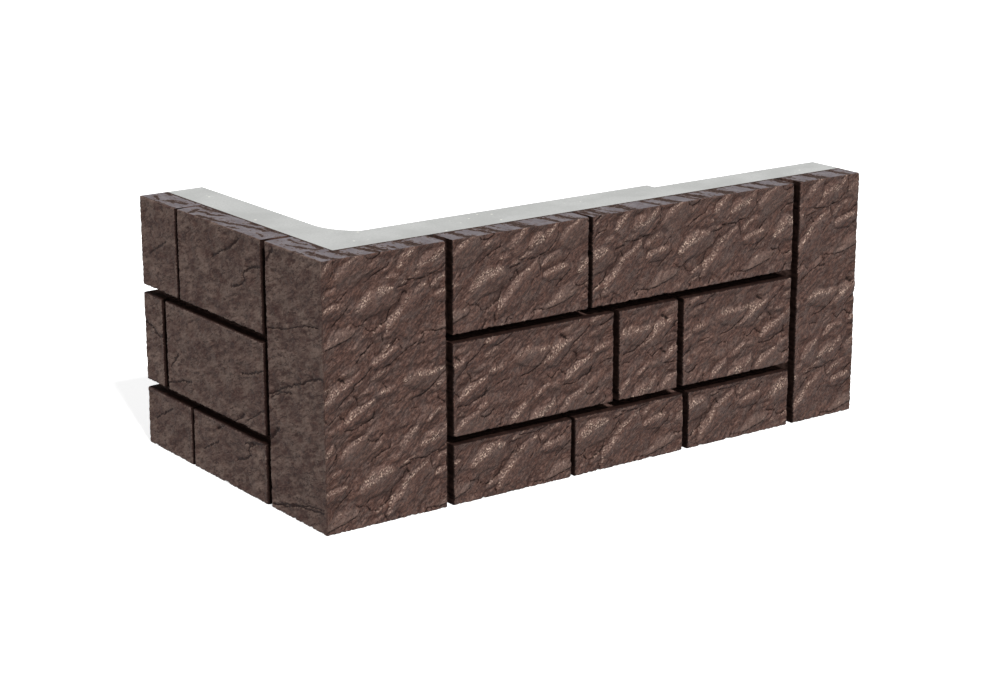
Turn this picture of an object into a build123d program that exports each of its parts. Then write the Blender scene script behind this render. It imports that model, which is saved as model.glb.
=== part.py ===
from build123d import *
from math import floor
import os

os.makedirs("parts", exist_ok=True)

# Corner block for a wall: an L-shaped concrete backing that carries rock-faced facing stones,
# laid in three courses with open joints. Sizes are in millimetres.
# The origin is the middle of the block's overall box, on the floor it stands on.
# The long arm runs along X with its face towards -Y, the short arm along Y with its face towards -X.

# Overall sizes
LONG_ARM = 1165.0
SHORT_ARM = 610.0
HEIGHT = 457.0

# Thickness of the two layers
FACING_THICKNESS = 56.0
BACKING_THICKNESS = 71.0

# Inside corner of the backing, and the thicker stretch of the long arm's back
INNER_ROUND = 102.0
THICKENING = 21.0
THIN_STRETCH = 386.0
CAST_EDGE = 2.0

# Courses, from the bottom up: the top course takes what is left of the height
BOTTOM_COURSE = 106.0
MIDDLE_COURSE = 162.0
BED_JOINT = 14.2

# Stones that stand the full height of the block
CORNER_STONE_FRONT = 237.3
CORNER_STONE_SIDE = 176.6
END_STONE = 148.2

# Upright joints
CORNER_JOINT = 13.1
END_JOINT = 14.5
NARROW_JOINT = 7.7
WIDE_JOINT = 12.2
SIDE_WIDE_JOINT = 13.6

# Stones of the long arm, from its end back: the one beside the corner stone takes what is left
FRONT_TOP_LAST_STONE = 461.9
FRONT_MIDDLE_LAST_STONE = 256.3
FRONT_MIDDLE_SHORT_STONE = 132.8
FRONT_BOTTOM_LAST_STONE = 240.7
FRONT_BOTTOM_SECOND_STONE = 243.6

# Last stones of the short arm, where the one beside the corner stone again takes what is left
SIDE_TOP_LAST_STONE = 129.2
SIDE_MIDDLE_LAST_STONE = 67.6
SIDE_BOTTOM_LAST_STONE = 161.6

# The shortest stone that is still laid: a shorter rest goes to the stone before it
SHORTEST_STONE = 50.0

# Eased arris around the face of every stone
ARRIS = 2.0

# Split faces: inside a narrow margin the face is broken into shallow hollows that meet in crests
SPLIT_MARGIN = 2.5
SPLIT_DRAFT = 50.0
CREST_DEPTH = 0.8
OVERCUT = 0.4
SIDE_SHARE = 0.5

# The hollows repeat along the wall from the outer corner, and down from the top
PATTERN_LONG = 223.0
PATTERN_HIGH = 304.8

# Hollows of one repeat. Each has its depth, its deepest point and its outline on the crests round it,
# all as place along and place down. The flank towards the crest below is short and steep.
HOLLOWS = [
    (7.0, (93, 60), [(24, 34), (85, -6), (145, 33), (139, 58), (63, 95), (45, 74)]),
    (7.0, (125, 117), [(63, 95), (139, 58), (205, 61), (122, 134), (70, 128)]),
    (5.0, (205, 8), [(145, 33), (182, -4), (243, -2), (180, 36)]),
    (6.5, (235, 70), [(192, 40), (243, -2), (268, 74), (208, 91)]),
    (6.0, (185, 149), [(122, 134), (205, 61), (222, 104), (219, 146), (150, 168)]),
    (7.0, (249, 119), [(208, 91), (268, 74), (286, 95), (289, 121), (219, 146)]),
    (6.0, (115, 165), [(66, 121), (122, 134), (150, 158), (92, 190), (60, 160)]),
    (7.0, (16, 211), [(-4, 146), (66, 121), (88, 185), (55, 205), (-8, 243)]),
    (6.0, (190, 207), [(150, 160), (219, 146), (236, 212), (153, 227), (130, 195)]),
    (6.5, (123, 222), [(96, 182), (150, 158), (153, 227), (100, 240), (55, 205)]),
    (7.0, (63, 253), [(-8, 243), (55, 205), (100, 240), (40, 279), (0, 285)]),
    (7.0, (195, 264), [(153, 227), (229, 222), (243, 303), (182, 301), (140, 285)]),
    (6.5, (112, 276), [(40, 279), (100, 240), (153, 227), (145, 290), (85, 299)]),
    (5.5, (49, 311), [(0, 285), (40, 279), (85, 299), (24, 339), (0, 310)]),
    (5.0, (156, 312), [(85, 299), (145, 290), (182, 301), (145, 338)]),
]

# Places that follow from the sizes
OUTER_X = -LONG_ARM / 2
OUTER_Y = -SHORT_ARM / 2
BACKING_X = OUTER_X + FACING_THICKNESS
BACKING_Y = OUTER_Y + FACING_THICKNESS
BACK_X = BACKING_X + BACKING_THICKNESS
BACK_Y = BACKING_Y + BACKING_THICKNESS
LONG_END_X = OUTER_X + LONG_ARM
SHORT_END_Y = OUTER_Y + SHORT_ARM
THICKENING_END_X = LONG_END_X - THIN_STRETCH
THICKENED_BACK_Y = BACK_Y + THICKENING
MIDDLE_BED = BOTTOM_COURSE + BED_JOINT
TOP_BED = MIDDLE_BED + MIDDLE_COURSE + BED_JOINT
TOP_COURSE = HEIGHT - TOP_BED
FRONT_START = OUTER_X + CORNER_STONE_FRONT + CORNER_JOINT
SIDE_START = OUTER_Y + CORNER_STONE_SIDE + CORNER_JOINT
END_STONE_X = LONG_END_X - END_STONE
FRONT_FINISH = END_STONE_X - END_JOINT


def lay_course(start, finish, stones_and_joints):
    """Give the start and length of each stone of a course, from the corner outwards.

    The stones come from the arm's end back, each with the joint before it, and the one beside the
    corner stone takes what is left.
    """
    laid = []
    for length, joint in stones_and_joints:
        if finish - length - joint - start < SHORTEST_STONE:
            break
        laid.append((finish - length, length))
        finish -= length + joint
    laid.append((start, finish - start))
    return laid[::-1]


# Planes of the two faces, from the top of the outer corner. Places along the short arm are negative.
FRONT_FACE = Plane(origin=(OUTER_X, OUTER_Y, HEIGHT), x_dir=(1, 0, 0), z_dir=(0, -1, 0))
SIDE_FACE = Plane(origin=(OUTER_X, OUTER_Y, HEIGHT), x_dir=(0, -1, 0), z_dir=(-1, 0, 0))


def split_hollow(face, deepest, outline, depth):
    """Make one hollow as a solid to cut away: a pyramid with its point in the stone.

    Its sides pass through the outline on the crests and stand a little above the face.
    """
    growth = (depth + OVERCUT) / (depth - CREST_DEPTH)
    rim = [deepest + (corner - deepest) * growth for corner in outline]
    base = [face.from_local_coords((corner.X, corner.Y, OVERCUT)) for corner in rim]
    point = face.from_local_coords((deepest.X, deepest.Y, -depth))
    sides = [Face(Wire.make_polygon([base[i - 1], base[i], point])) for i in range(len(base))]
    return Solid(Shell([Face(Wire.make_polygon(base)), *sides]))


def hollows_on(face, start, finish, top, bottom, share):
    """Make the hollows that the repeating pattern puts on one stone, its top and bottom taken downwards."""
    hollows = []
    for column in range(floor(start / PATTERN_LONG) - 1, floor(finish / PATTERN_LONG) + 1):
        for row in range(floor(top / PATTERN_HIGH) - 1, floor(bottom / PATTERN_HIGH) + 1):
            for depth, deepest, outline in HOLLOWS:
                shift = Vector(column * PATTERN_LONG, -row * PATTERN_HIGH)
                corners = [shift + Vector(along, -down) for along, down in outline]
                beside = max(c.X for c in corners) < start or min(c.X for c in corners) > finish
                beyond = max(c.Y for c in corners) < -bottom or min(c.Y for c in corners) > -top
                if not beside and not beyond:
                    middle = shift + Vector(deepest[0], -deepest[1])
                    hollows.append(split_hollow(face, middle, corners, depth * share))
    return hollows


def split_away(face, start, finish, low, high, share=1.0):
    """Make what splitting takes off the face of one stone, within the margin along its edges."""
    top = HEIGHT - high
    bottom = HEIGHT - low
    deepest = max(depth for depth, *place in HOLLOWS)
    with BuildPart() as chips:
        with BuildSketch(face.offset(OVERCUT / 2)):
            with Locations(((start + finish) / 2, -(top + bottom) / 2)):
                Rectangle(finish - start - 2 * SPLIT_MARGIN, high - low - 2 * SPLIT_MARGIN)
        extrude(amount=-deepest - OVERCUT, taper=SPLIT_DRAFT)
        with BuildPart(mode=Mode.INTERSECT):
            add(hollows_on(face, start, finish, top, bottom, share))
    return chips.part


# Backing: an L in plan with a rounded inside corner and a thicker stretch behind the long arm
with BuildPart() as backing:
    with BuildSketch(Plane.XY) as backing_plan:
        with Locations((BACKING_X, BACKING_Y)):
            Rectangle(LONG_END_X - BACKING_X, BACKING_THICKNESS, align=(Align.MIN, Align.MIN))
            Rectangle(BACKING_THICKNESS, SHORT_END_Y - BACKING_Y, align=(Align.MIN, Align.MIN))
        inside_corner = backing_plan.vertices().sort_by_distance((BACK_X, BACK_Y))[0]
        fillet(inside_corner, radius=INNER_ROUND)
        with Locations((BACK_X, BACK_Y)):
            Rectangle(THICKENING_END_X - BACK_X, THICKENING, align=(Align.MIN, Align.MIN))
        back_corners = [
            (LONG_END_X, BACK_Y),
            (THICKENING_END_X, THICKENED_BACK_Y),
            (BACK_X, SHORT_END_Y),
        ]
        cast_corners = [backing_plan.vertices().sort_by_distance(corner)[0] for corner in back_corners]
        fillet(cast_corners, radius=CAST_EDGE)
    extrude(amount=HEIGHT)

backing.part.label = "backing"
export_step(backing.part, "parts/backing.step")

# Corner stone: one stone of the full height that turns the corner and shows on both faces
with BuildPart() as corner_stone:
    with BuildSketch(Plane.XY):
        with Locations((OUTER_X, OUTER_Y)):
            Rectangle(CORNER_STONE_FRONT, FACING_THICKNESS, align=(Align.MIN, Align.MIN))
            Rectangle(FACING_THICKNESS, CORNER_STONE_SIDE, align=(Align.MIN, Align.MIN))
    extrude(amount=HEIGHT)
    front_outline = corner_stone.faces().sort_by(Axis.Y)[0].edges()
    side_outline = corner_stone.faces().sort_by(Axis.X)[0].edges()
    fillet(set(front_outline + side_outline), radius=ARRIS)
    front_chips = split_away(FRONT_FACE, 0.0, CORNER_STONE_FRONT, 0.0, HEIGHT)
    side_chips = split_away(SIDE_FACE, -CORNER_STONE_SIDE, 0.0, 0.0, HEIGHT, SIDE_SHARE)
    add([front_chips, side_chips], mode=Mode.SUBTRACT)

corner_stone.part.label = "corner_stone"
export_step(corner_stone.part, "parts/corner_stone.step")

# End stone: one stone of the full height that closes the long arm
with BuildPart() as end_stone:
    with BuildSketch(Plane.XY):
        with Locations((END_STONE_X, OUTER_Y)):
            Rectangle(END_STONE, FACING_THICKNESS, align=(Align.MIN, Align.MIN))
    extrude(amount=HEIGHT)
    fillet(end_stone.faces().sort_by(Axis.Y)[0].edges(), radius=ARRIS)
    add(split_away(FRONT_FACE, LONG_ARM - END_STONE, LONG_ARM, 0.0, HEIGHT), mode=Mode.SUBTRACT)

end_stone.part.label = "end_stone"
export_step(end_stone.part, "parts/end_stone.step")

# Coursed stones of the long arm: name of the course, its bed, its height and its stones
front_courses = [
    (
        "front_bottom",
        0.0,
        BOTTOM_COURSE,
        [(FRONT_BOTTOM_LAST_STONE, WIDE_JOINT), (FRONT_BOTTOM_SECOND_STONE, NARROW_JOINT)],
    ),
    (
        "front_middle",
        MIDDLE_BED,
        MIDDLE_COURSE,
        [(FRONT_MIDDLE_LAST_STONE, WIDE_JOINT), (FRONT_MIDDLE_SHORT_STONE, WIDE_JOINT)],
    ),
    ("front_top", TOP_BED, TOP_COURSE, [(FRONT_TOP_LAST_STONE, NARROW_JOINT)]),
]

for course, bed, height, stones_and_joints in front_courses:
    laid = lay_course(FRONT_START, FRONT_FINISH, stones_and_joints)
    for number, (start, length) in enumerate(laid, start=1):
        with BuildPart() as front_stone:
            with BuildSketch(Plane.XY.offset(bed)):
                with Locations((start, OUTER_Y)):
                    Rectangle(length, FACING_THICKNESS, align=(Align.MIN, Align.MIN))
            extrude(amount=height)
            fillet(front_stone.faces().sort_by(Axis.Y)[0].edges(), radius=ARRIS)
            along = start - OUTER_X
            add(split_away(FRONT_FACE, along, along + length, bed, bed + height), mode=Mode.SUBTRACT)

        front_stone.part.label = f"{course}_{number}"
        export_step(front_stone.part, f"parts/{course}_{number}.step")

# Coursed stones of the short arm, on the same beds
side_courses = [
    ("side_bottom", 0.0, BOTTOM_COURSE, [(SIDE_BOTTOM_LAST_STONE, NARROW_JOINT)]),
    ("side_middle", MIDDLE_BED, MIDDLE_COURSE, [(SIDE_MIDDLE_LAST_STONE, SIDE_WIDE_JOINT)]),
    ("side_top", TOP_BED, TOP_COURSE, [(SIDE_TOP_LAST_STONE, NARROW_JOINT)]),
]

for course, bed, height, stones_and_joints in side_courses:
    laid = lay_course(SIDE_START, SHORT_END_Y, stones_and_joints)
    for number, (start, length) in enumerate(laid, start=1):
        with BuildPart() as side_stone:
            with BuildSketch(Plane.XY.offset(bed)):
                with Locations((OUTER_X, start)):
                    Rectangle(FACING_THICKNESS, length, align=(Align.MIN, Align.MIN))
            extrude(amount=height)
            fillet(side_stone.faces().sort_by(Axis.X)[0].edges(), radius=ARRIS)
            away = OUTER_Y - start
            chips = split_away(SIDE_FACE, away - length, away, bed, bed + height, SIDE_SHARE)
            add(chips, mode=Mode.SUBTRACT)

        side_stone.part.label = f"{course}_{number}"
        export_step(side_stone.part, f"parts/{course}_{number}.step")
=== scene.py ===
import math
from collections import namedtuple

import bmesh
import bpy
import numpy as np
from mathutils import Matrix, Vector


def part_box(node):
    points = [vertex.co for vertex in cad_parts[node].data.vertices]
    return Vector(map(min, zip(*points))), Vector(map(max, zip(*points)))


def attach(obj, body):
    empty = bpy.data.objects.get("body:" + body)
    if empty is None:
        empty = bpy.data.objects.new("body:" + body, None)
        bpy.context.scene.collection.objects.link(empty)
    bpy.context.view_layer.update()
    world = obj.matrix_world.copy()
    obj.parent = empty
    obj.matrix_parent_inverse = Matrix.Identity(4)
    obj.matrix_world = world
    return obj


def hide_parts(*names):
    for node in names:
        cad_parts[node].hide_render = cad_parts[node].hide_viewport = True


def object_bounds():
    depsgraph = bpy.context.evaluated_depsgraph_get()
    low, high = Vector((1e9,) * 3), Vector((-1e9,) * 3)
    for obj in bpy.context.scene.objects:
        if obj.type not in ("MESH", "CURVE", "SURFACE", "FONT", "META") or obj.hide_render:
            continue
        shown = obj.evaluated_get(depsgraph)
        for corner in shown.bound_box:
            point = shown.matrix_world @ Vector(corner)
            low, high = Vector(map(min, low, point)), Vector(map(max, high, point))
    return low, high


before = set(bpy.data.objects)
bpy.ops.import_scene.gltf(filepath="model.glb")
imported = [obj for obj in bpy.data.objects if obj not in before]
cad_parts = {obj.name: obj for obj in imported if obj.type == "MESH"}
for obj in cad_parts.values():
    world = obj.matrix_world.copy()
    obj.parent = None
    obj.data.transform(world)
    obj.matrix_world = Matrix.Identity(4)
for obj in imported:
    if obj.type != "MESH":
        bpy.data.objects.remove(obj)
cad_low, cad_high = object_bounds()

# Dress of the corner block: rock-faced stones with split relief, sawn beds, and cast concrete behind.
# Lengths in this script are in millimetres until a mesh is made, and positions are in the frame of the CAD.
MM = 0.001

# Plan of the block
OUTER_X = cad_low.x / MM
OUTER_Y = cad_low.y / MM
TOP = cad_high.z / MM
LONG_ARM = cad_high.x / MM - OUTER_X
SHORT_ARM = cad_high.y / MM - OUTER_Y
THICK = 56.0
ARRIS = 2.0

# A stone's start and finish along the wall from the outer corner, negative on the short arm, and its height
Stone = namedtuple("Stone", "start finish low high")

# Materials of a stone, in the order of its slots, and its four walls
SPLIT, SAWN, JOINT, CALM = range(4)
BOTTOM, FINISH, UPPER, START = range(4)

# Fields of the faces that the materials read
FIELDS = ("pale", "grey", "crack", "hollow", "facing")

# Places closer than SAME count as one, and FAR is out of reach of anything along an edge
SAME = 0.5
FAR = 1000.0

# Stripes on the sawn top of the long arm, in one repeat of the pattern: middle, half width, strength
STRIPES = ((27, 7, 0.95), (64, 9, 1.0), (110, 8, 0.85), (128, 9, 0.95), (150, 5, 0.5), (188, 13, 1.0))

# Grid of the split faces, and rows across the thickness of a stone
FRONT_STEP = 1.7
SIDE_STEP = 2.0
EDGE_STEPS = (0.0, 0.35, 0.9, 2.0)
WALL_ROWS = [0.0, 0.012, 0.035, 0.065] + np.linspace(0.1, 1.0, 19).tolist()

# The split pattern repeats over the faces: along the wall, and down from the top
PATTERN_LONG = 223.0
PATTERN_HIGH = 304.8
PATTERN_STEP = 0.75

# Lie of the flakes, of the streaks between them, and of the short arm's face
GRAIN = math.radians(33)
STREAKS = math.radians(43)
SIDE_GRAIN = math.radians(22)

# Deepest and shallowest point of the split relief behind the face of the CAD stone
DEEPEST = 8.4
SHALLOWEST = 0.25

# The relief is held back this far from an edge, no point lies deeper than the inset, and an edge of the
# mesh is sharp past the angle
HELD_BACK = 14.0
DEEPEST_INSET = 9.0
SHARP = math.radians(62)

# Depth of the crests between the hollows, and the share of all depths that the short arm's face has
CREST_DEPTH = 0.8
SIDE_SHARE = 0.5

# Main hollows of the pattern, the same as in the solids. Each has its depth, its deepest point and its
# outline on the crests round it, all as place along and place down.
HOLLOWS = [
    (7.0, (93, 60), [(24, 34), (85, -6), (145, 33), (139, 58), (63, 95), (45, 74)]),
    (7.0, (125, 117), [(63, 95), (139, 58), (205, 61), (122, 134), (70, 128)]),
    (5.0, (205, 8), [(145, 33), (182, -4), (243, -2), (180, 36)]),
    (6.5, (235, 70), [(192, 40), (243, -2), (268, 74), (208, 91)]),
    (6.0, (185, 149), [(122, 134), (205, 61), (222, 104), (219, 146), (150, 168)]),
    (7.0, (249, 119), [(208, 91), (268, 74), (286, 95), (289, 121), (219, 146)]),
    (6.0, (115, 165), [(66, 121), (122, 134), (150, 158), (92, 190), (60, 160)]),
    (7.0, (16, 211), [(-4, 146), (66, 121), (88, 185), (55, 205), (-8, 243)]),
    (6.0, (190, 207), [(150, 160), (219, 146), (236, 212), (153, 227), (130, 195)]),
    (6.5, (123, 222), [(96, 182), (150, 158), (153, 227), (100, 240), (55, 205)]),
    (7.0, (63, 253), [(-8, 243), (55, 205), (100, 240), (40, 279), (0, 285)]),
    (7.0, (195, 264), [(153, 227), (229, 222), (243, 303), (182, 301), (140, 285)]),
    (6.5, (112, 276), [(40, 279), (100, 240), (153, 227), (145, 290), (85, 299)]),
    (5.5, (49, 311), [(0, 285), (40, 279), (85, 299), (24, 339), (0, 310)]),
    (5.0, (156, 312), [(85, 299), (145, 290), (182, 301), (145, 338)]),
]

# Flakes of the pattern. Each has its height, how far its upper flank is painted pale (painted light and
# highlights on the flank that faces the lamp), how grey it is (a tone that partly stands in for painted
# sheen), and the points of its crest from lower left to upper right: place along, place down, width of the
# flank above the crest, and width of the body below it.
FLAKES = [
    (4.6, 1.0, 0.3, [(65, 94, 6, 17), (82, 84, 15, 23), (108, 73, 22, 30), (131, 66, 12, 24),
        (137, 60, 0, 10)]),
    (4.0, 0.8, 0.1, [(145, 33, 6, 18), (157, 23, 9, 27), (167, 13, 9, 25), (177, 3, 6, 18),
        (182, -4, 0, 8)]),
    (4.2, 0.9, 0.1, [(180, 35, 5, 10), (192, 32, 8, 18), (206, 30, 14, 24), (215, 28, 20, 26),
        (226, 22, 12, 24), (236, 10, 6, 20), (243, -2, 0, 10)]),
    (2.8, 0.6, 0.0, [(164, 52, 3, 5), (177, 47, 6, 8), (188, 43, 6, 9), (200, 39, 3, 6)]),
    (3.0, 0.7, 0.0, [(125, 47, 4, 6), (134, 45, 7, 8), (146, 43, 6, 6)]),
    (2.6, 0.8, 0.0, [(147, 60, 2, 4), (155, 57, 5, 4), (163, 53, 3, 3)]),
    (4.4, 0.8, 0.0, [(123, 133, 4, 6), (129, 122, 7, 20), (141, 114, 8, 48), (153, 100, 9, 54),
        (163, 86, 8, 50), (177, 77, 6, 45), (190, 68, 6, 35), (205, 61, 4, 20)]),
    (3.4, 0.6, 0.0, [(208, 73, 3, 6), (216, 69, 6, 10), (226, 62, 9, 16), (236, 57, 7, 18), (246, 51, 4, 14),
        (253, 48, 1, 6)]),
    (3.8, 0.8, 0.0, [(-15, 90, 2, 6), (-5, 88, 5, 12), (6, 84, 6, 18), (22, 82, 7, 20), (36, 78, 7, 14),
        (45, 75, 3, 6)]),
    (3.2, 0.1, 1.0, [(-4, 146, 6, 2), (12, 142, 10, 2), (30, 138, 18, 2), (48, 132, 22, 2), (58, 128, 16, 2),
        (66, 121, 5, 2)]),
    (2.0, 0.5, 0.0, [(71, 139, 2, 3), (76, 136, 4, 5), (82, 132, 2, 3)]),
    (2.6, 0.35, 0.0, [(94, 140, 2, 4), (98, 133, 4, 8), (108, 125, 4, 10), (122, 118, 3, 8)]),
    (2.4, 0.6, 0.0, [(98, 147, 2, 3), (106, 142, 4, 5), (113, 137, 2, 3)]),
    (2.8, 0.6, 0.0, [(116, 143, 3, 5), (126, 136, 5, 8), (134, 128, 3, 6)]),
    (2.4, 0.4, 0.3, [(52, 157, 2, 4), (60, 152, 6, 8), (71, 147, 5, 6)]),
    (2.2, 0.6, 0.0, [(71, 171, 1, 4), (77, 166, 3, 6), (86, 160, 2, 4)]),
    (3.2, 1.0, 0.0, [(116, 168, 2, 4), (122, 163, 4, 5), (131, 156, 3, 3)]),
    (2.4, 0.15, 0.6, [(137, 168, 2, 10), (139, 160, 3, 12), (146, 157, 2, 8)]),
    (3.4, 0.75, 0.0, [(92, 190, 3, 4), (97, 184, 6, 10), (108, 178, 6, 16), (120, 173, 5, 20),
        (133, 163, 3, 22), (150, 160, 0, 15)]),
    (2.6, 0.25, 0.7, [(36, 197, 4, 6), (50, 191, 8, 8), (66, 182, 5, 6)]),
    (4.6, 1.0, 0.1, [(-8, 242, 2, 8), (0, 238, 7, 16), (13, 233, 12, 20), (23, 224, 18, 20),
        (33, 218, 14, 18), (43, 214, 5, 12), (55, 205, 0, 6)]),
    (3.0, 0.5, 0.2, [(92, 213, 3, 4), (100, 208, 7, 8), (108, 205, 8, 10), (118, 200, 6, 10),
        (128, 197, 2, 6)]),
    (4.2, 0.8, 0.4, [(153, 225, 3, 6), (160, 222, 8, 16), (175, 220, 14, 28), (190, 219, 14, 30),
        (205, 219, 12, 24), (222, 217, 8, 14), (236, 212, 3, 6)]),
    (3.2, 0.8, 0.0, [(102, 240, 3, 5), (108, 237, 6, 8), (114, 234, 6, 10), (125, 233, 4, 10),
        (134, 229, 2, 6)]),
    (4.2, 0.9, 0.0, [(40, 278, 3, 5), (53, 267, 6, 14), (62, 262, 6, 18), (72, 258, 7, 20), (80, 254, 6, 22),
        (88, 248, 5, 24), (100, 240, 0, 20)]),
    (2.6, 0.45, 0.0, [(34, 247, 2, 6), (40, 243, 4, 10), (48, 239, 5, 12), (58, 236, 3, 10),
        (64, 236, 0, 6)]),
    (2.2, 0.35, 0.0, [(68, 248, 2, 3), (78, 243, 4, 5), (90, 238, 3, 4)]),
    (2.4, 0.4, 0.0, [(70, 231, 2, 3), (80, 228, 4, 6), (90, 225, 5, 6), (97, 222, 2, 4)]),
    (3.0, 0.7, 0.0, [(80, 300, 2, 4), (87, 296, 6, 8), (95, 292, 6, 8), (102, 288, 2, 4)]),
    (2.4, 0.5, 0.0, [(145, 299, 3, 4), (152, 296, 5, 6), (160, 293, 4, 5)]),
    (3.0, 0.8, 0.0, [(196, 302, 2, 3), (206, 294, 4, 5), (214, 289, 4, 5), (224, 283, 4, 5),
        (232, 278, 1, 3)]),
    (2.6, 0.45, 0.0, [(205, 250, 3, 4), (213, 245, 6, 8), (222, 240, 6, 8), (230, 236, 2, 4)]),
    (2.4, 0.3, 0.5, [(-4, 287, 2, 4), (6, 284, 4, 8), (16, 283, 6, 10), (27, 284, 5, 6)]),
    (2.0, 0.6, 0.0, [(43, 305, 2, 3), (48, 301, 4, 4), (52, 298, 2, 2)]),
    (3.6, 0.45, 0.5, [(24, 34, 3, 8), (30, 28, 6, 24), (40, 20, 6, 36), (52, 10, 5, 40), (66, 2, 2, 38),
        (85, -6, 0, 30)]),
    (2.8, 0.6, 0.2, [(88, 27, 3, 4), (94, 22, 6, 8), (102, 16, 5, 8), (110, 10, 2, 6)]),
]

# Cracks of the pattern: width, depth, and the points that each follows
CRACKS = [
    (1.3, 1.4, [(55, 109), (65, 116), (75, 116), (84, 110)]),
    (1.3, 1.6, [(79, 117), (88, 127), (97, 128), (112, 122), (125, 117), (132, 98)]),
    (1.3, 2.0, [(84, 49), (90, 45), (100, 38), (113, 31), (126, 26), (129, 18)]),
    (1.2, 1.6, [(163, 53), (197, 55), (223, 48), (238, 35), (244, 22), (246, 3)]),
    (1.3, 1.2, [(32, 73), (40, 64), (48, 57)]),
    (1.3, 1.4, [(23, 110), (35, 98), (50, 83)]),
    (1.2, 1.8, [(0, 147), (30, 140), (55, 132), (65, 123)]),
    (1.6, 2.6, [(66, 177), (73, 165), (87, 158), (97, 150)]),
    (1.2, 1.6, [(116, 150), (115, 139)]),
    (1.3, 1.8, [(117, 195), (130, 190), (150, 175), (168, 167), (185, 160), (197, 150)]),
    (1.2, 1.4, [(192, 150), (198, 145), (210, 146), (223, 148)]),
    (2.5, 2.4, [(34, 199), (43, 207)]),
    (1.4, 2.0, [(25, 250), (42, 233), (58, 222), (60, 214), (80, 203), (93, 187)]),
    (1.4, 2.2, [(223, 228), (203, 248), (190, 254), (170, 257)]),
    (1.3, 1.6, [(60, 232), (65, 238), (67, 249)]),
    (1.3, 1.8, [(38, 287), (60, 287), (80, 281), (100, 275)]),
    (1.2, 1.6, [(165, 273), (182, 274)]),
    (1.0, 1.2, [(117, 263), (133, 258), (150, 253)]),
    (3.1, 1.2, [(97, 264), (96, 275)]),
    (1.3, 1.6, [(0, 262), (10, 270), (22, 262), (30, 258), (42, 270)]),
    (1.6, 1.6, [(83, 3), (93, 9), (103, 7), (113, 0)]),
    (1.3, 1.6, [(146, 64), (158, 62), (165, 60)]),
    (1.6, 1.6, [(160, 70), (165, 80)]),
    (1.3, 1.2, [(157, 72), (149, 87)]),
    (1.3, 1.4, [(207, 57), (206, 68), (208, 78)]),
    (1.0, 1.0, [(186, 100), (192, 90), (203, 85)]),
    (1.3, 1.8, [(147, 160), (152, 168)]),
    (1.3, 1.6, [(135, 156), (142, 148), (148, 152)]),
    (1.2, 1.4, [(117, 222), (124, 232)]),
    (2.3, 1.4, [(183, 165), (197, 163)]),
    (1.3, 1.4, [(0, 228), (8, 221), (13, 218)]),
]

# Cracks of the short arm's face: width, depth, and points as distance from the outer corner and down
SIDE_CRACKS = [
    (2.5, 1.8, [(360, 62), (327, 46), (293, 33), (264, 12)]),
    (2.5, 1.8, [(293, 100), (256, 88), (243, 79), (252, 71), (235, 58), (193, 46)]),
    (1.5, 1.4, [(172, 144), (127, 137), (60, 117), (18, 112)]),
    (2.5, 1.8, [(172, 258), (131, 238), (89, 223), (72, 217), (35, 200), (2, 194)]),
    (3.9, 1.6, [(172, 329), (147, 312)]),
    (3.0, 1.4, [(172, 29), (151, 8)]),
    (2.1, 1.6, [(264, 246), (235, 238), (193, 225)]),
    (2.8, 1.2, [(518, 292), (493, 267)]),
    (2.1, 1.2, [(410, 417), (377, 400), (352, 388)]),
    (1.9, 1.2, [(252, 325), (193, 292)]),
    (2.1, 1.4, [(527, 325), (473, 308), (443, 304)]),
    (1.8, 1.4, [(260, 367), (218, 354)]),
    (3.0, 1.4, [(610, 229), (585, 233), (556, 246), (543, 240)]),
    (2.1, 1.2, [(585, 100), (543, 79), (518, 67)]),
    (2.1, 1.2, [(168, 450), (110, 433), (68, 429), (10, 421)]),
    (1.8, 1.2, [(168, 262), (140, 247), (105, 240)]),
]

# Brown strokes on the sawn top of the short arm: half width, and points as distance from the outer
# corner along the arm and distance back from its face
BED_STROKES = [
    (3.8, [(238, 42), (269, 38), (300, 31), (327, 20), (358, 13), (408, 7)]),
    (2.6, [(290, 33), (312, 26), (330, 18)]),
    (3.2, [(381, 42), (396, 31), (415, 28), (435, 26)]),
    (3.2, [(388, 51), (423, 48), (473, 45)]),
    (3.6, [(437, 11), (446, 19), (452, 30)]),
    (5.5, [(506, 34), (525, 28), (544, 24)]),
    (3.6, [(0, 29), (23, 24), (50, 22), (72, 21)]),
    (3.0, [(76, 42), (92, 30), (112, 23), (134, 16)]),
    (2.6, [(77, 48), (102, 49)]),
    (1.8, [(115, 44), (140, 36), (165, 40)]),
    (2.2, [(211, 50), (254, 50)]),
    (2.8, [(285, 51), (304, 51)]),
    (1.5, [(208, 16), (225, 20)]),
    (2.0, [(281, 12), (304, 7)]),
    (2.6, [(581, 48), (608, 51)]),
    (2.2, [(560, 12), (582, 20), (600, 26)]),
    (2.4, [(0, 2), (45, 2), (88, 1)]),
    (2.4, [(331, 1), (408, 1)]),
    (2.4, [(477, 1), (540, 2), (610, 1)]),
]


# Seeded noise on a plane


def smooth_step(low, high, value):
    """Rise from 0 to 1 between low and high, with no corner at either end."""
    share = np.clip((value - low) / (high - low), 0.0, 1.0)
    return share * share * (3.0 - 2.0 * share)


def blended(grid, x, y, smooth=False):
    """Value of a repeating grid, blended from the four points round a place, with no corners if smooth."""
    rows, columns = grid.shape
    column = np.floor(x).astype(int)
    row = np.floor(y).astype(int)
    across = x - column
    down = y - row
    if smooth:
        across = smooth_step(0.0, 1.0, across)
        down = smooth_step(0.0, 1.0, down)
    here = grid[row % rows, column % columns]
    beside = grid[row % rows, (column + 1) % columns]
    below = grid[(row + 1) % rows, column % columns]
    opposite = grid[(row + 1) % rows, (column + 1) % columns]
    near = here * (1 - across) + beside * across
    return near * (1 - down) + (below * (1 - across) + opposite * across) * down


def plane_noise(x, y, seed):
    """Smooth noise between 0 and 1, one cell to a unit."""
    return blended(np.random.RandomState(seed).rand(256, 256), x, y, smooth=True)


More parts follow.
